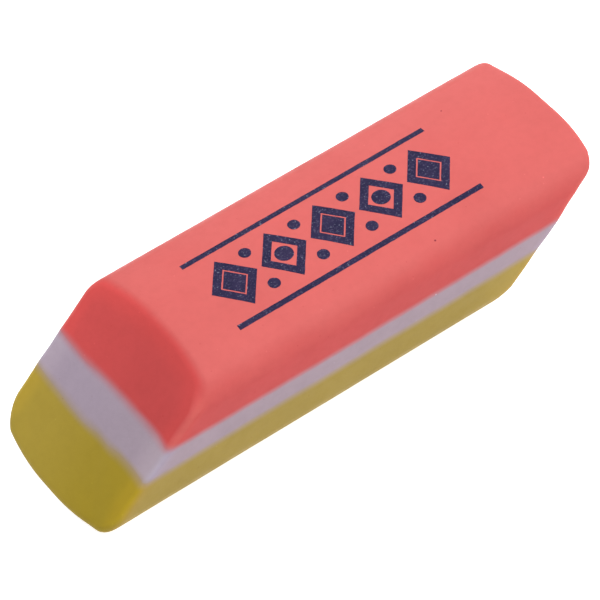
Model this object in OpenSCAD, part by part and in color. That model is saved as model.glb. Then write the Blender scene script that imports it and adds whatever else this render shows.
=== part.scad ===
// Block eraser with slanted ends, pressed from three layers of soft vinyl.
// Millimetres, +Z up. The origin is under the middle of the block, on the surface it rests on.

/* [Block] */
// Length between the two end faces, measured along the block at one height
block_l = 42; // [25:0.5:80]
// Width across the flat sides
block_w = 16.6; // [12:0.1:30]
// Lean of both end faces from upright, in degrees
slant = 45; // [0:1:55]

/* [Layers] */
// Thickness of the lower layer
yellow_t = 5.35; // [4:0.05:10]
// Thickness of the middle layer
white_t = 2.65; // [1:0.05:6]
// Thickness of the upper layer
coral_t = 5; // [4:0.05:10]

/* [Crown] */
// Width of the flat strip along the middle of the top and of the bottom
flat_w = 2; // [1:0.1:5]
// How far the top turns down before the long edge starts, in degrees
crown_turn = 11.5; // [6:0.5:20]
// Radius of the four long edges
long_r = 2.3; // [1.6:0.1:3.5]

/* [End edges] */
// Radius of the sharp edge at each end, the nose
nose_r = 0.5; // [0.3:0.05:1.5]
// Radius of the blunt edge at each end, the heel
heel_r = 0.7; // [0.3:0.05:1.5]
// Radius of the two side edges at each end, the cheeks
cheek_r = 0.65; // [0.3:0.05:1.5]

/* [Hidden] */

// Facets along each long edge, each half of a crown and round each end edge
edge_steps = 12;
crown_steps = 4;
round_steps = 6;

// Heights of the two bonded faces and of the top
yellow_top = yellow_t;
white_top = yellow_top + white_t;
block_h = white_top + coral_t;

half_w = block_w / 2;
half_h = block_h / 2;
half_flat = flat_w / 2;
lean = tan(slant);

// Half the length of the block from nose to nose, before the noses are rounded
reach = block_l / 2 + lean * half_h;

// The crown runs on from the flat strip and meets the long edge in one line of touch
crown_r = (half_w - half_flat - long_r * (1 - sin(crown_turn))) / sin(crown_turn);
edge_y = half_w - long_r;
edge_z = half_h - crown_r * (1 - cos(crown_turn)) - long_r * cos(crown_turn);

// A quarter of the cross-section, from the side to the flat strip.
// Each point is [y, z, a], where a is the direction that the surface faces there.
quarter = concat(
    [for (i = [0:edge_steps])
        let (a = (90 - crown_turn) * i / edge_steps)
        [edge_y + long_r * cos(a), edge_z + long_r * sin(a), a]],
    [for (i = [1:crown_steps])
        let (a = 90 - crown_turn * (1 - i / crown_steps))
        [half_flat + crown_r * cos(a), half_h - crown_r * (1 - sin(a)), a]]
);

// The whole cross-section, anticlockwise from the middle of one side, as seen from +X
section = concat(
    quarter,
    [for (i = [len(quarter) - 1:-1:0]) let (p = quarter[i]) [-p[0], p[1], 180 - p[2]]],
    [for (p = quarter) [-p[0], -p[1], 180 + p[2]]],
    [for (i = [len(quarter) - 1:-1:0]) let (p = quarter[i]) [p[0], -p[1], 360 - p[2]]]
);

// Radius of the end edge beside a point that faces a. The +X end has its nose on top.
function end_r(end, a) =
    let (up = end * sin(a))
    cheek_r + ((up > 0 ? nose_r : heel_r) - cheek_r) * up * up;

// Unit vector a share t of the way round from u to v
function turned(u, v, t) =
    let (angle = acos(u * v))
    (sin((1 - t) * angle) * u + sin(t * angle) * v) / sin(angle);

// Ring of points round one end, from the long faces at t = 0 to the end face at t = 1
function ring(end, t) = [
    for (p = section)
        let (
            r = end_r(end, p[2]),
            out = [0, cos(p[2]), sin(p[2])],
            y = p[0] - r * out[1],
            z = p[1] - r * out[2],
            x = end * (block_l / 2 - r / cos(slant)) + lean * z
        )
        [x, y, z + half_h] + r * turned(out, end * [cos(slant), 0, -sin(slant)], t)
];

// The whole block as one skin, lofted through the rings from the -X end face to the +X one
module block() {
    n = len(section);
    rings = concat(
        [for (j = [round_steps:-1:0]) ring(-1, j / round_steps)],
        [for (j = [0:round_steps]) ring(1, j / round_steps)]
    );
    last = len(rings) - 1;
    polyhedron(
        points = [for (r = rings) each r],
        faces = concat(
            [[for (i = [0:n - 1]) i]],
            [for (k = [0:last - 1], i = [0:n - 1])
                let (next = (i + 1) % n)
                [k * n + i, (k + 1) * n + i, (k + 1) * n + next, k * n + next]],
            [[for (i = [n - 1:-1:0]) last * n + i]]
        )
    );
}

// The slice of the block between two heights
module slice(from, to) {
    intersection() {
        block();
        translate([-reach, -block_w, from]) cube([2 * reach, 2 * block_w, to - from]);
    }
}

// The outer layers take everything beyond their bonded face
module yellow_layer() {
    color([0.70, 0.60, 0.24]) slice(-block_h, yellow_top);
}

module white_layer() {
    color([0.78, 0.74, 0.80]) slice(yellow_top, white_top);
}

module coral_layer() {
    color([0.92, 0.42, 0.40]) slice(white_top, 2 * block_h);
}

yellow_layer();
white_layer();
coral_layer();
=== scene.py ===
import math

import bmesh
import bpy
from mathutils import Matrix, Quaternion, Vector, noise
from mathutils.bvhtree import BVHTree


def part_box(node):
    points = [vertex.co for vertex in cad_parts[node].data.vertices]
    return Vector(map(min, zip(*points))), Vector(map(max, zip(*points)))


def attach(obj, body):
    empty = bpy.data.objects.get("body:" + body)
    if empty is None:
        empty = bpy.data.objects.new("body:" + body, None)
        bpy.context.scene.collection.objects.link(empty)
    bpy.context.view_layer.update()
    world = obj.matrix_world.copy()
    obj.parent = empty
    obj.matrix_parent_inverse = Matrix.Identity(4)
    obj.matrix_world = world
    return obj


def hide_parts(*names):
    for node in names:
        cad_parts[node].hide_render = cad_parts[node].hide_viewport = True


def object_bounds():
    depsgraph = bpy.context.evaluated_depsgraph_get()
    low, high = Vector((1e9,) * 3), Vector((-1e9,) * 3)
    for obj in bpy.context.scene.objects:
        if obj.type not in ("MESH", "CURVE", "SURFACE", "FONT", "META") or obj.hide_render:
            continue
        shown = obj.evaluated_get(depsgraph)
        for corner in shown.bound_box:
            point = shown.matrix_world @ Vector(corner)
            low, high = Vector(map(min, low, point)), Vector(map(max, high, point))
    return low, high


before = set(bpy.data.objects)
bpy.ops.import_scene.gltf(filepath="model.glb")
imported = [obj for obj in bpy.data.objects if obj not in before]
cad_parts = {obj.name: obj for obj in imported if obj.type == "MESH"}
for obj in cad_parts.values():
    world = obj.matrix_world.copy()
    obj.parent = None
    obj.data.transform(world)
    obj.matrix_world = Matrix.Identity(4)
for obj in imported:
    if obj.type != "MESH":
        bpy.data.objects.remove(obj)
cadLow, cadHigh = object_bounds()
mm = 0.001
print("frame loaded")

# Sizes of the whole block, taken from the frame
yellowLow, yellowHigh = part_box("yellow_layer")
whiteLow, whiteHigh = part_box("white_layer")
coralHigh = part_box("coral_layer")[1]

# Heights here are from the middle of the block, and near is the -Y side
blockShape = {
    "lean": math.tan(math.radians(45)),    # slope of both end faces
    "width": cadHigh.y - cadLow.y,
    "height": coralHigh.z - yellowLow.z - 0.03 * mm,    # leaves room for the ink
    "base": yellowLow.z,
    "flatHalf": 1.0 * mm,    # half the flat strip on top and underneath
    "crownRadius": 27.4 * mm,
    "longEdge": 1.83 * mm,
    "farEdge": 1.5 * mm,    # the far upper one is tighter
    "nose": 0.5 * mm,
    "heel": 1.6 * mm,
    "cheek": 0.65 * mm,
    "heelCorner": 0.5 * mm,    # more wear where a long edge runs out at an end
    "noseCorner": 0.12 * mm,
    "ripple": 0.07 * mm,    # the end edges aren't quite even
    "rippleScale": 520,
    "rippleShift": 3.7,    # so that the two ends differ
    "flare": 0.36 * mm,    # the knife dragged one corner of each end outwards
    "flareAcross": (5.2 * mm, 8.0 * mm),
    "lip": 0.226 * mm,    # and drew the near corner of the +X nose out
    "lipAcross": (1.0 * mm, 8.35 * mm),
    "lipHeight": (3.3 * mm, 4.9 * mm),
    "lipCorner": 0.097 * mm,
    "lipCornerTilt": (0.1, 0.3),    # how far the skin faces sideways there
    "lipWear": 0.45 * mm,    # the cheek below that is rounder
    "lipWearRise": (0.2 * mm, 3.8 * mm),
    "lipWearFall": (5.3 * mm, 4.3 * mm),
    "nearHeel": 0.6 * mm,
    "wear": 0.05 * mm,    # depth of the uneven skin
    "wearSwells": ((110, Vector((0, 0, 0)), 0.6), (260, Vector((5, 2, 9)), 0.4)),    # scale, shift, share
    "sidePower": 8,    # keeps the painted highlights and light at the edges to skin that faces sideways
    "crownFade": 2,    # how soon the crown's painted sheen ends at the cheeks
    "glowReach": 0.9 * mm,    # how far along the sides the painted light next to the end edges reaches
    "glowTurn": (0.7, 0.3),    # and how far round the edge
    "heelReach": 6 * mm,    # the same for the sides towards the +X end
    "noseApart": 3,    # mm added at the nose, which has no light rim
    "nosePower": 4,
    "edgeSteps": 16,
    "crownCuts": 27,
    "sideCuts": 15,
    "roundSteps": 8,
    "capShares": (0.06, 0.14, 0.26, 0.42, 0.62, 0.84),    # rings across each end face
    "lengthSteps": 72,
}
blockShape["between"] = whiteHigh.x - whiteLow.x - blockShape["lean"] * (whiteHigh.z - whiteLow.z)
sameHeight = 1e-9    # edges flatter than this are level
sameLevel = 1e-7    # vertices nearer than this lie on a bonded face


# Share of the way from low to high, held between 0 and 1
def shareOf(value, low, high):
    return min(1.0, max(0.0, (value - low) / (high - low)))


# The same with a soft start and stop
def ease(value, low=0.0, high=1.0):
    share = shareOf(value, low, high)
    return share * share * (3 - 2 * share)


def crownDrop(y):
    beyond = max(0.0, abs(y) - blockShape["flatHalf"])
    return beyond * beyond / (2 * blockShape["crownRadius"])


# Cross-section as one loop of edges, a rectangle with rounded corners and a crown
def drawSection(bm):
    halfW, halfH = blockShape["width"] / 2, blockShape["height"] / 2
    outline = ((-halfW, -halfH), (halfW, -halfH), (halfW, halfH), (-halfW, halfH))
    corners = [bm.verts.new((0, y, z)) for y, z in outline]
    bm.faces.new(corners)
    far = corners.pop(2)
    for geom, offset in ((corners, blockShape["longEdge"]), ([far], blockShape["farEdge"])):
        bmesh.ops.bevel(bm, geom=geom, offset=offset, offset_type="OFFSET", affect="VERTICES",
                        segments=blockShape["edgeSteps"], profile=0.5, material=-1)
    bmesh.ops.delete(bm, geom=bm.faces[:], context="FACES_ONLY")
    longOnes = [e for e in bm.edges if e.calc_length() > blockShape["longEdge"]]
    crowned = [e for e in longOnes if abs(e.verts[0].co.z - e.verts[1].co.z) < sameHeight]
    upright = [e for e in longOnes if e not in crowned]
    bmesh.ops.subdivide_edges(bm, edges=crowned, cuts=blockShape["crownCuts"])
    for v in bm.verts:
        v.co.z -= math.copysign(crownDrop(v.co.y), v.co.z)
    bmesh.ops.subdivide_edges(bm, edges=upright, cuts=blockShape["sideCuts"])
    bmesh.ops.contextual_create(bm, geom=bm.edges[:])
    bm.faces.ensure_lookup_table()
    return bm.faces[0]


# Radius of the end edge beside a section point. Twice a product is 1 where the skin faces 45 degrees.
def edgeRadius(at, out, end):
    up = end * out.z
    toNose, toHeel, near = max(0.0, up), max(0.0, -up), max(0.0, -out.y)
    r = blockShape["cheek"] + (blockShape["nose" if up > 0 else "heel"] - blockShape["cheek"]) * up * up
    r += 2 * blockShape["heelCorner"] * max(0.0, end * out.y) * toHeel
    if end > 0:
        r += blockShape["lipCorner"] * ease(near, *blockShape["lipCornerTilt"]) * toNose
        wear = ease(at.z, *blockShape["lipWearRise"]) * ease(at.z, *blockShape["lipWearFall"])
        r += blockShape["lipWear"] * near * wear
        r += 2 * blockShape["nearHeel"] * near * toHeel
    else:
        r += 2 * blockShape["noseCorner"] * max(0.0, out.y) * toNose
    scale, shift = blockShape["rippleScale"], blockShape["rippleShift"]
    uneven = noise.noise(Vector((at.y * scale, at.z * scale, end * shift)))
    return r + blockShape["ripple"] * (1 - toNose) * uneven


# Place of a section point on the ring round an end, from the long faces at turn 0 to the end face at turn 1
def ringPoint(spot, end, turn):
    at, out = spot
    lean, slant = blockShape["lean"], math.atan(blockShape["lean"])
    r = edgeRadius(at, out, end)
    y, z = at.y - r * out.y, at.z - r * out.z
    middle = Vector((end * (blockShape["between"] / 2 - r / math.cos(slant)) + lean * z, y, z))
    endOut = Vector((end * math.cos(slant), 0, -end * math.sin(slant)))
    at = middle + r * out.slerp(endOut, turn)
    at.x += end * blockShape["flare"] * shareOf(end * at.y, *blockShape["flareAcross"]) ** 2
    if end > 0:
        drawn = shareOf(-at.y, *blockShape["lipAcross"]) * ease(at.z, *blockShape["lipHeight"])
        at.x += blockShape["lip"] * drawn
    return at


# Place of a section point on the end face, part of the way in to its middle
def capPoint(spot, end, share):
    return ringPoint(spot, end, 1).lerp(Vector((end * blockShape["between"] / 2, 0, 0)), share)


# Place of a section point on the long faces, part of the way from the -X end to the +X end
def sidePoint(spot, share):
    return ringPoint(spot, -1, 0).lerp(ringPoint(spot, 1, 0), share)


# The whole block before it is split into layers, with the shares that its materials read
def buildBlock():
    bm = bmesh.new()
    face = drawSection(bm)
    bm.verts.layers.int.new("spot")
    names = ("crownSheenShare", "endCut", "cheekHighlight", "besideEdgeLight", "towardHeelLight", "fromRim")
    for name in names:
        bm.verts.layers.float.new(name)
    mark = bm.verts.layers.int["spot"]
    shares = {name: bm.verts.layers.float[name] for name in names}
    ordered = [loop.vert for loop in face.loops]
    spots = []
    for i, v in enumerate(ordered):
        run = ordered[(i + 1) % len(ordered)].co - ordered[i - 1].co
        out = Vector((0, run.z, -run.y)).normalized()
        spots.append((v.co.copy(), out if out.dot(v.co) > 0 else -out))
        v[mark] = i
    bmesh.ops.delete(bm, geom=[face], context="FACES_ONLY")

    # Every ring of the skin from end to end: how far round the end edge it lies, and where its points are
    caps, rounds, steps = blockShape["capShares"], blockShape["roundSteps"], blockShape["lengthSteps"]
    rings = [(1.0, lambda s, t=share: capPoint(s, -1, t)) for share in reversed(caps)]
    rings += [(j / rounds, lambda s, t=j / rounds: ringPoint(s, -1, t)) for j in range(rounds, -1, -1)]
    rings += [(0.0, lambda s, t=k / steps: sidePoint(s, t)) for k in range(1, steps)]
    rings += [(j / rounds, lambda s, t=j / rounds: ringPoint(s, 1, t)) for j in range(rounds + 1)]
    rings += [(1.0, lambda s, t=share: capPoint(s, 1, t)) for share in caps]

    def put(v, turn, find):
        spot = spots[v[mark]]
        out = spot[1]
        v.co = find(spot)
        side = out.y ** blockShape["sidePower"]
        v[shares["endCut"]] = turn
        # painted sheen on the crown, fading where the skin turns round to the ends
        v[shares["crownSheenShare"]] = abs(out.z) * (1 - turn * min(1, blockShape["crownFade"] * out.y ** 2))
        v[shares["cheekHighlight"]] = side * 4 * turn * (1 - turn)    # painted highlight, 1 halfway round the edge
        onEdge = ease(turn, *blockShape["glowTurn"])
        toEdges = [(v.co - ringPoint(spot, end, 0)).length for end in (-1, 1)]
        # painted light on the sides next to the end edges
        beside = onEdge if turn else ease(1 - min(toEdges) / blockShape["glowReach"])
        v[shares["besideEdgeLight"]] = side * beside
        # painted light on the sides towards the +X end
        v[shares["towardHeelLight"]] = side * ease(1 - toEdges[1] / blockShape["heelReach"]) * onEdge
        away, nose = min(((v.co - ringPoint(spot, end, 1)).length / mm, max(0, end * out.z)) for end in (-1, 1))
        v[shares["fromRim"]] = away + blockShape["noseApart"] * nose ** blockShape["nosePower"]

    for v in ordered:
        put(v, *rings[0])
    rim = bm.edges[:]
    for ring in rings[1:]:
        made = bmesh.ops.extrude_edge_only(bm, edges=rim)["geom"]
        fresh = {v for v in made if isinstance(v, bmesh.types.BMVert)}
        for v in fresh:
            put(v, *ring)
        rim = [e for e in made if isinstance(e, bmesh.types.BMEdge) and fresh.issuperset(e.verts)]
    bmesh.ops.holes_fill(bm, edges=[e for e in bm.edges if e.is_boundary], sides=0)
    bmesh.ops.recalc_face_normals(bm, faces=bm.faces[:])
    for v in bm.verts:
        v.co.z += blockShape["base"] + blockShape["height"] / 2
    return bm


# Slight unevenness of a soft block that was cut and tumbled, always inwards
def wearBlock(bm):
    bm.normal_update()
    moves = []
    for v in bm.verts:
        swell = sum(share * noise.noise(v.co * scale + shift) for scale, shift, share in blockShape["wearSwells"])
        moves.append(v.normal * (-blockShape["wear"] * (0.5 + 0.5 * swell)))
    for v, move in zip(bm.verts, moves):
        v.co += move


block = buildBlock()
wearBlock(block)
print("block", len(block.verts), "vertices")

# The two bonded lines: how far each runs off its level, in mm, across the -X end by y and along the sides by x
seams = {"lower": yellowHigh.z, "upper": whiteHigh.z}
bondedLines = {
    "reach": 1.1 * mm,    # the skin goes along with a line this far above and below it
    "turnOver": 2.2,    # mm from the -X end in which the line on the end passes into the one on the side
    "midHeight": 6.5,    # mm, where the end face is half of "between" from the middle
    "none": 9.0,    # mm, stands for no line on that side of a layer
    "fine": ((0.02, 1.3, 1.0), (0.015, 2.9, -2.1)),    # small waves: height, and turns along and across
    "lower": {
        "end": ((-8.3, 0.2), (-6, 0.35), (-4.5, 0.32), (-2.5, 0.07), (1, -0.17), (4, -0.06), (8.3, 0.17)),
        "side": ((-22, 0.26), (-10, 0.32), (-3, 0.24), (1.5, 0.3), (9, 0.18), (13, 0.27), (22, 0.25)),
    },
    "upper": {
        "end": ((-8.3, 0.05), (-6, 0.26), (-3, 0.2), (0, 0.1), (4, -0.07), (8.3, 0.05)),
        "side": ((-20, -0.04), (-12, -0.14), (0, -0.22), (9, -0.22), (22, -0.15)),
    },
}


def alongKnots(knots, at):
    for (a, low), (b, high) in zip(knots, knots[1:]):
        if at <= b:
            return low + (high - low) * ease(at, a, b)
    return knots[-1][1]


def seamWave(seam, x, y):
    along, across = x / mm, y / mm
    rise = seams[seam] / mm - bondedLines["midHeight"]
    fromEnd = along + blockShape["between"] / mm / 2 - blockShape["lean"] * rise
    onEnd = alongKnots(bondedLines[seam]["end"], across)
    onSide = alongKnots(bondedLines[seam]["side"], along)
    fine = sum(high * math.sin(along * a + across * b) for high, a, b in bondedLines["fine"])
    return mm * (onEnd + (onSide - onEnd) * ease(fromEnd / bondedLines["turnOver"]) + fine)


def everything(bm):
    return bm.verts[:] + bm.edges[:] + bm.faces[:]


def toObject(bm, name):
    mesh = bpy.data.meshes.new(name)
    bm.to_mesh(mesh)
    bm.free()
    made = bpy.data.objects.new(name, mesh)
    bpy.context.scene.collection.objects.link(made)
    return made


# One layer of the block, with its bonded faces closed
def cutLayer(name, floorSeam, roofSeam):
    bm = block.copy()
    reach = bondedLines["reach"]
    for seam, above in ((floorSeam, True), (roofSeam, False)):
        if not seam:
            continue
        cut = bmesh.ops.bisect_plane(bm, geom=everything(bm), plane_co=(0, 0, seams[seam]), plane_no=(0, 0, 1),
                                     clear_inner=above, clear_outer=not above)["geom_cut"]
        rim = [e for e in cut if isinstance(e, bmesh.types.BMEdge)]
        cap = bmesh.ops.holes_fill(bm, edges=rim, sides=0)["faces"]
        bmesh.ops.inset_region(bm, faces=cap, thickness=reach, use_even_offset=True)
        for e in rim:
            e.smooth = False
    bmesh.ops.recalc_face_normals(bm, faces=bm.faces[:])
    below = bm.verts.layers.float.new("belowSeam")
    over = bm.verts.layers.float.new("aboveSeam")
    endCut = bm.verts.layers.float["endCut"]
    moves = {}
    for v in bm.verts:
        v[over] = (v.co.z - seams[floorSeam]) / mm if floorSeam else bondedLines["none"]
        v[below] = (seams[roofSeam] - v.co.z) / mm if roofSeam else bondedLines["none"]
        lift = 0.0
        for seam in filter(None, (floorSeam, roofSeam)):
            away = abs(v.co.z - seams[seam])
            inner = away < sameLevel and all(e.smooth for e in v.link_edges)    # inside a bonded face
            if away < reach and not inner:
                lift += seamWave(seam, v.co.x, v.co.y) * (1 - away / reach)
        moves[v] = lift
    for v, lift in moves.items():
        v.co += Vector((blockShape["lean"] * v[endCut], 0, 1)) * lift
    for f in bm.faces:
        f.smooth = True
    return toObject(bm, name)


# Steps that the materials are built from: each adds a node to the tree, and most give back its output
def newMaterial(name):
    mat = bpy.data.materials.new(name)
    mat.use_nodes = True
    tree = mat.node_tree
    return mat, tree, tree.nodes["Principled BSDF"], tree.nodes.new("ShaderNodeTexCoord").outputs["Object"]


def addNode(tree, kind, inputs, **settings):
    n = tree.nodes.new(kind)
    for key, value in settings.items():
        setattr(n, key, value)
    for key, value in inputs.items():
        if isinstance(value, bpy.types.NodeSocket):
            tree.links.new(value, n.inputs[key])
        else:
            n.inputs[key].default_value = (*value, 1) if isinstance(value, tuple) else value
    return n


def noiseNode(tree, place, scale, detail, rough):
    inputs = {"Vector": place, "Scale": scale, "Detail": detail, "Roughness": rough}
    return addNode(tree, "ShaderNodeTexNoise", inputs).outputs["Fac"]


def ramp(tree, value, span, to=(0, 1), curve="SMOOTHSTEP"):
    inputs = {"Value": value, "From Min": span[0], "From Max": span[1], "To Min": to[0], "To Max": to[1]}
    return addNode(tree, "ShaderNodeMapRange", inputs, interpolation_type=curve).outputs["Result"]


def mix(tree, share, first, second, blend="MIX"):
    inputs = {0: share, 6: first, 7: second}    # 6 and 7 are the colour sockets, and 2 is the colour output
    return addNode(tree, "ShaderNodeMix", inputs, data_type="RGBA", blend_type=blend).outputs[2]


def tint(tree, share, first, times):
    return mix(tree, share, first, times, "MULTIPLY")


def sums(tree, operation, first, second):
    clamped = operation == "SUBTRACT"
    return addNode(tree, "ShaderNodeMath", {0: first, 1: second}, operation=operation, use_clamp=clamped).outputs[0]


def attribute(tree, name):
    return addNode(tree, "ShaderNodeAttribute", {}, attribute_name=name).outputs["Fac"]


# What the three vinyls have in common
vinyl = {
    "noiseRough": 0.55,
    "endTurn": (0.05, 0.75),    # how far round the edge the end's tone takes over
    "crownMottle": {"scale": 170, "detail": 2, "span": (0.3, 0.7), "to": (0.8, 1.2)},
    "crownPower": 1.5,    # most of the painted sheen's change is close to the sides
    "mottles": (
        {"scale": 120, "detail": 2, "span": (0.3, 0.7), "times": (0.95, 0.95, 0.95)},
        {"scale": 1400, "detail": 4, "span": (0.35, 0.75), "times": (0.96, 0.96, 0.96)},
    ),
    "dirt": {"scale": 420, "size": 0.05, "rare": 0.88},
    "dust": {"scale": 610, "size": 0.06, "rare": 0.86},
    "dustTone": (1.25, 0.05),    # times the layer's colour, plus this
    "paleFlecks": {"scale": 1150, "size": 0.1, "rare": 0.78},
    "paleTint": (1.1, 1.16, 1.16),
    "deepFlecks": {"scale": 1310, "size": 0.11, "rare": 0.8},
    "deepTint": (0.92, 0.85, 0.85),
    "speckCore": 0.6,    # share of a speck's size that is solid
    "speckPick": 0.02,
    "sheen": {"scale": 700, "detail": 3, "span": (0.3, 0.7), "about": (-0.06, 0.08)},
    "specular": 0.045,
    "grain": {"scale": 2600, "detail": 5, "rough": 0.6, "strength": 0.25, "depth": 0.05 * mm},
}


# Soft vinyl: mottled colour, dust, fine grain, a blurred line where it meets the next layer, and painted sheen,
# highlights and light on the crown, ends and edges
def vinylMaterial(name, look):
    mat, tree, shader, place = newMaterial(name)
    base = look["colour"]

    def mottle(kind):
        return noiseNode(tree, place, kind["scale"], kind["detail"], kind.get("rough", vinyl["noiseRough"]))

    def specks(kind):
        cells = addNode(tree, "ShaderNodeTexVoronoi", {"Vector": place, "Scale": kind["scale"]})
        dot = ramp(tree, cells.outputs["Distance"], (kind["size"] * vinyl["speckCore"], kind["size"]), (1, 0))
        chance = addNode(tree, "ShaderNodeSeparateColor", {"Color": cells.outputs["Color"]}).outputs["Red"]
        pick = ramp(tree, chance, (kind["rare"], kind["rare"] + vinyl["speckPick"]))
        return sums(tree, "MULTIPLY", dot, pick)

    # Crown and sides: the crown's tone is the colour with a painted sheen, which fades out towards the sides
    uneven = ramp(tree, mottle(vinyl["crownMottle"]), vinyl["crownMottle"]["span"], vinyl["crownMottle"]["to"])
    crown = sums(tree, "MULTIPLY", attribute(tree, "crownSheenShare"), uneven)
    toSide = sums(tree, "POWER", sums(tree, "SUBTRACT", 1.0, crown), vinyl["crownPower"])
    tone = mix(tree, toSide, look["crown"], base)

    # Ends: tones of their own, with painted light and sheen making them lighter from the near side to the far one
    across = addNode(tree, "ShaderNodeSeparateXYZ", {"Vector": place}).outputs["Y"]
    toFarLit = ramp(tree, across, (look["far"][0] * mm, look["far"][1] * mm))
    onEnd = ramp(tree, attribute(tree, "endCut"), vinyl["endTurn"])
    tone = mix(tree, onEnd, tone, mix(tree, toFarLit, look["end"], look["endFarLit"]))

    # Light that comes through at the edges
    rim = ramp(tree, attribute(tree, "fromRim"), (0, look["rimReach"]), (1, 0))
    tone = tint(tree, sums(tree, "MULTIPLY", onEnd, rim), tone, look["rim"])
    # painted highlights halfway round the end edges, and painted light on the sides beside them and towards the +X
    # end
    for share, times in (("cheekHighlight", "edge"), ("besideEdgeLight", "glow"), ("towardHeelLight", "heelGlow")):
        tone = tint(tree, attribute(tree, share), tone, look[times])

    for kind in vinyl["mottles"]:
        tone = tint(tree, ramp(tree, mottle(kind), kind["span"]), tone, kind["times"])
    for line, colour, width in look["bleeds"]:
        tone = mix(tree, ramp(tree, attribute(tree, line), (-width, width), (1, 0)), tone, colour)
    times, plus = vinyl["dustTone"]
    tone = mix(tree, specks(vinyl["dirt"]), tone, look["speck"])
    tone = mix(tree, specks(vinyl["dust"]), tone, tuple(min(1, c * times + plus) for c in base))
    tone = tint(tree, specks(vinyl["paleFlecks"]), tone, vinyl["paleTint"])
    tone = tint(tree, specks(vinyl["deepFlecks"]), tone, vinyl["deepTint"])
    tree.links.new(tone, shader.inputs["Base Color"])

    # Sheen and grain
    sheen, grain = vinyl["sheen"], vinyl["grain"]
    rough = ramp(tree, mottle(sheen), sheen["span"], [look["rough"] + about for about in sheen["about"]])
    tree.links.new(rough, shader.inputs["Roughness"])
    shader.inputs["Specular IOR Level"].default_value = vinyl["specular"]
    bumps = {"Height": mottle(grain), "Strength": grain["strength"], "Distance": grain["depth"]}
    tree.links.new(addNode(tree, "ShaderNodeBump", bumps).outputs["Normal"], shader.inputs["Normal"])
    return mat


coralTone = (0.4466, 0.0609, 0.0602)
whiteTone = (0.304, 0.235, 0.275)
yellowTone = (0.2914, 0.2084, 0.047)

yellowLayer = {
    "colour": yellowTone,
    "crown": yellowTone,
    "end": (0.304, 0.219, 0.0205),
    "endFarLit": (0.345, 0.251, 0.0395),
    "far": (-7, 5),    # where the end changes over to its far tone, painted lighter, in mm across
    "rim": (1.15, 1.11, 0.98),    # the soft edge lets light through, so these multiply the tone
    "rimReach": 2.0,
    "edge": (1.09, 1.09, 1.01),    # painted highlight on the end edges
    "glow": (1.09, 1.04, 1.0),    # painted light on the sides next to them
    "heelGlow": (1.125, 1.105, 1.03),    # painted light on the sides towards the +X end
    "bleeds": [("belowSeam", whiteTone, 0.57)],    # bonded line, tone beyond it, mm of blur
    "speck": (0.1, 0.08, 0.05),
    "rough": 0.4,
}
whiteLayer = {
    "colour": whiteTone,
    "crown": whiteTone,
    "end": (0.318, 0.256, 0.306),
    "endFarLit": (0.337, 0.274, 0.339),
    "far": (-7, 4),
    "rim": (1.16, 1.17, 1.14),
    "rimReach": 2.5,
    "edge": (1.0, 1.04, 1.05),
    "glow": (1.06, 1.106, 1.17),
    "heelGlow": (1.03, 1.0, 1.0),
    "bleeds": [("aboveSeam", yellowTone, 0.57), ("belowSeam", coralTone, 0.5)],
    "speck": (0.13, 0.1, 0.11),
    "rough": 0.4,
}
coralLayer = {
    "colour": coralTone,
    # the crown tone is the colour with a painted sheen
    "crown": (0.4682, 0.0947, 0.0886),
    "end": (0.47, 0.063, 0.0625),
    "endFarLit": (0.558, 0.0752, 0.0737),
    "far": (-3, 9),
    "rim": (1.1, 1.04, 1.02),
    "rimReach": 1.8,
    "edge": (1.05, 1.48, 1.44),
    "glow": (1.072, 1.1, 1.04),
    "heelGlow": (1.03, 0.99, 0.98),
    "bleeds": [("aboveSeam", whiteTone, 0.5)],
    "speck": (0.16, 0.02, 0.03),
    "rough": 0.38,
}

for name, node, slot, floorSeam, roofSeam, look in (
    ("yellowLayer", "yellow_layer", "yellow_vinyl", None, "lower", yellowLayer),
    ("whiteLayer", "white_layer", "white_vinyl", "lower", "upper", whiteLayer),
    ("coralLayer", "coral_layer", "coral_vinyl", "upper", None, coralLayer),
):
    piece = cutLayer(name, floorSeam, roofSeam)
    piece.data.materials.append(vinylMaterial(name + "Vinyl", look))
    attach(piece, "root")
    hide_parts(node)
    print(name, len(piece.data.polygons), "faces")

# Ink on the crown: a frieze of lozenges and dots between two rules
frieze = {
    "start": -9.5 * mm,
    "stop": 16.2 * mm,
    "middle": -0.35 * mm,
    "lozenges": 5,
    "wide": 4.7 * mm,
    "tall": 5.8 * mm,
    "line": 0.75 * mm,
    "core": 0.52,    # size of the solid lozenge inside every other one
    "dot": 0.56 * mm,
    "dotSides": 20,
    "dotAway": 0.36,    # of the lozenges' height
    "eye": 1.5,    # size of the dot inside the other lozenges, against the small dots
    "rule": 0.52 * mm,
    "ruleAway": 4.1 * mm,    # from the middle of the frieze
    "cell": 0.4 * mm,    # the film is cut this fine to lie on the crown
    "cutHalf": 6 * mm,    # and over this much to each side
    "weld": 0.001 * mm,
    "ragged": 0.022 * mm,
    "raggedScale": 3100,
    "raggedShift": Vector((7, 3, 1)),
    "film": 0.014 * mm,
}


def inkLozenge(bm, x, scale, hollow):
    verts = bmesh.ops.create_circle(bm, cap_ends=True, segments=4, radius=0.5)["verts"]
    bmesh.ops.scale(bm, verts=verts, vec=(frieze["wide"] * scale, frieze["tall"] * scale, 1))
    bmesh.ops.translate(bm, verts=verts, vec=(x, frieze["middle"], 0))
    face = verts[0].link_faces[0]
    if hollow:
        bmesh.ops.inset_region(bm, faces=[face], thickness=frieze["line"], use_boundary=True, use_even_offset=True)
        bmesh.ops.delete(bm, geom=[face], context="FACES")


def inkDot(bm, x, y, radius):
    place = Matrix.Translation((x, frieze["middle"] + y, 0))
    bmesh.ops.create_circle(bm, cap_ends=True, segments=frieze["dotSides"], radius=radius, matrix=place)


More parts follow.
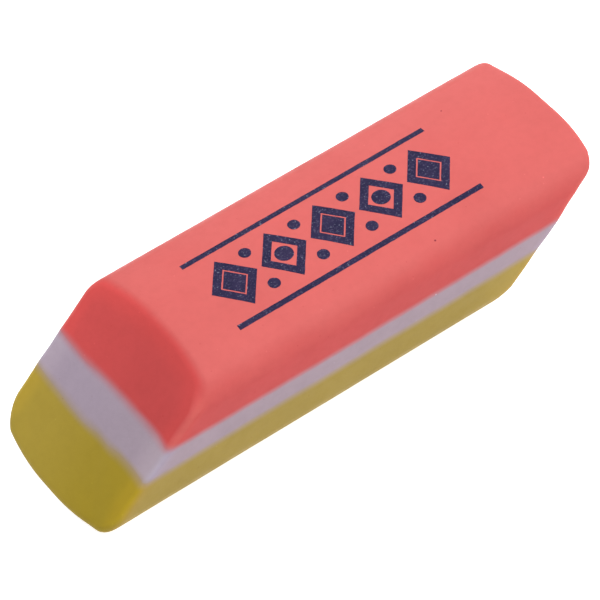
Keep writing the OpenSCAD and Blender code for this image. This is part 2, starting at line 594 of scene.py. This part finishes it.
def inkRule(bm, y):
    start, stop = frieze["start"], frieze["stop"]
    verts = bmesh.ops.create_grid(bm, x_segments=1, y_segments=1, size=0.5)["verts"]
    bmesh.ops.scale(bm, verts=verts, vec=(stop - start, frieze["rule"], 1))
    bmesh.ops.translate(bm, verts=verts, vec=((start + stop) / 2, frieze["middle"] + y, 0))


# The frieze is drawn flat, cut fine, given ragged edges and laid on the crown as a film
def printFrieze():
    bm = bmesh.new()
    count, start, stop = frieze["lozenges"], frieze["start"], frieze["stop"]
    pitch = (stop - start) / count
    for i in range(count):
        x = start + pitch * (i + 0.5)
        inkLozenge(bm, x, 1.0, True)
        if i % 2:
            inkDot(bm, x, 0, frieze["dot"] * frieze["eye"])
        else:
            inkLozenge(bm, x, frieze["core"], False)
        if i:
            for side in (-1, 1):
                inkDot(bm, x - pitch / 2, side * frieze["tall"] * frieze["dotAway"], frieze["dot"])
    for side in (-1, 1):
        inkRule(bm, side * frieze["ruleAway"])
    cell = frieze["cell"]
    for axis, low, high in ((0, start, stop), (1, -frieze["cutHalf"], frieze["cutHalf"])):
        for k in range(1, int((high - low) / cell) + 1):
            spot, facing = Vector(), Vector()
            spot[axis], facing[axis] = low + k * cell, 1
            bmesh.ops.bisect_plane(bm, geom=everything(bm), plane_co=spot, plane_no=facing)
    bmesh.ops.remove_doubles(bm, verts=bm.verts[:], dist=frieze["weld"])
    for v in bm.verts:
        if v.is_boundary:
            at = v.co * frieze["raggedScale"]
            v.co += frieze["ragged"] * Vector((noise.noise(at), noise.noise(at + frieze["raggedShift"]), 0))
    top = bmesh.ops.extrude_face_region(bm, geom=bm.faces[:], use_keep_orig=True)["geom"]
    upper = {v for v in top if isinstance(v, bmesh.types.BMVert)}
    crown = BVHTree.FromBMesh(block)
    for v in bm.verts:
        hit = crown.ray_cast(Vector((v.co.x, v.co.y, cadHigh.z + mm)), Vector((0, 0, -1)))[0]
        v.co.z = hit.z + (frieze["film"] if v in upper else 0)
    bmesh.ops.recalc_face_normals(bm, faces=bm.faces[:])
    return toObject(bm, "inkFrieze")


navyInk = {
    "deep": (0.01, 0.008, 0.034),
    "thin": (0.018, 0.013, 0.045),
    "worn": (0.05, 0.042, 0.085),
    "pinhole": (0.11, 0.12, 0.17),
    "thinCover": (900, (0.35, 0.7)),    # noise scale, and the span in which the next tone comes in
    "wornCover": (6000, (0.54, 0.7)),
    "pinholeCover": (4100, (0.645, 0.7)),
    "detail": 3,
    "noiseRough": 0.5,
    "rough": 0.5,
    "specular": 0.08,
}


# Stamped ink: uneven cover, with pinholes where the vinyl shows through
def inkMaterial():
    mat, tree, shader, place = newMaterial("navyInk")
    tone = navyInk["deep"]
    for name in ("thin", "worn", "pinhole"):
        scale, span = navyInk[name + "Cover"]
        uneven = noiseNode(tree, place, scale, navyInk["detail"], navyInk["noiseRough"])
        tone = mix(tree, ramp(tree, uneven, span, curve="LINEAR"), tone, navyInk[name])
    tree.links.new(tone, shader.inputs["Base Color"])
    shader.inputs["Roughness"].default_value = navyInk["rough"]
    shader.inputs["Specular IOR Level"].default_value = navyInk["specular"]
    return mat


ink = printFrieze()
ink.data.materials.append(inkMaterial())
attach(ink, "root")
print("inkFrieze", len(ink.data.polygons), "faces")
block.free()

# Pale floor that gives off a little light
paleFloor = {
    "half": 30,    # metres
    "below": 0.02 * mm,
    "shader": {
        "Base Color": (0.72, 0.72, 0.72, 1),
        "Roughness": 0.9,
        "Emission Color": (1, 1, 1, 1),
        "Emission Strength": 0.9,
        "Specular IOR Level": 0.0,
    },
}
bm = bmesh.new()
bmesh.ops.create_grid(bm, x_segments=1, y_segments=1, size=paleFloor["half"])
floor = toObject(bm, "floor")
floor.location.z = cadLow.z - paleFloor["below"]
floorMat = bpy.data.materials.new("paleFloor")
floorMat.use_nodes = True
for socket, value in paleFloor["shader"].items():
    floorMat.node_tree.nodes["Principled BSDF"].inputs[socket].default_value = value
floor.data.materials.append(floorMat)

# Soft studio light: a bright panel overhead, weaker ones in front and at the right, one low behind
studio = {
    "panels": {
        "overhead": {"toward": Vector((0, 0, 1)), "share": 1.04, "size": (0.6, 0.6)},
        "front": {"toward": Vector((0.5, -0.5, 0.707)), "share": 0.47, "size": (0.6, 0.6)},
        "right": {"toward": Vector((0.766, 0, 0.643)), "share": 0.24, "size": (0.6, 0.6)},
        "behind": {"toward": Vector((0.52, 0.742, 0.423)), "share": 0.378, "size": (0.4, 0.5)},
    },
    "distance": 0.7,
    "surround": 0.06,
}
for name, panel in studio["panels"].items():
    wide, tall = panel["size"]
    lamp = bpy.data.lights.new(name, "AREA")
    lamp.shape = "ELLIPSE" if wide == tall else "RECTANGLE"
    lamp.size, lamp.size_y = wide, tall
    lamp.energy = panel["share"] * math.pi ** 2 * ((wide / 2) ** 2 + studio["distance"] ** 2)
    stand = bpy.data.objects.new(name, lamp)
    stand.location = panel["toward"].normalized() * studio["distance"]
    stand.rotation_mode = "QUATERNION"
    stand.rotation_quaternion = (-stand.location).to_track_quat("-Z", "Y")
    bpy.context.scene.collection.objects.link(stand)
world = bpy.data.worlds.new("surround")
world.use_nodes = True
world.node_tree.nodes["Background"].inputs["Color"].default_value = (1, 1, 1, 1)
world.node_tree.nodes["Background"].inputs["Strength"].default_value = studio["surround"]
bpy.context.scene.world = world
bpy.context.scene.view_settings.view_transform = "Standard"
print("floor and", len(studio["panels"]), "lights")

# Camera at the photograph's angle
shot = {
    "aim": Vector((-0.421, -0.443, 5.986)) * mm,
    "azimuth": -35.028,
    "elevation": 49.634,
    "distance": 289.98 * mm,
    "roll": 2.346,
    "lens": 203.35,
    "clipStart": 0.01,
}
turnedBy, raisedBy = math.radians(shot["azimuth"]), math.radians(shot["elevation"])
level = math.cos(raisedBy)
back = Vector((math.sin(turnedBy) * level, -math.cos(turnedBy) * level, math.sin(raisedBy)))
roll = Quaternion((0, 0, 1), math.radians(-shot["roll"]))
camera = bpy.data.objects.new("camera", bpy.data.cameras.new("camera"))
camera.data.lens = shot["lens"]
camera.data.clip_start = shot["clipStart"]
camera.location = shot["aim"] + back * shot["distance"]
camera.rotation_mode = "QUATERNION"
camera.rotation_quaternion = (-back).to_track_quat("-Z", "Y") @ roll
bpy.context.scene.collection.objects.link(camera)
bpy.context.scene.camera = camera
print("camera set")
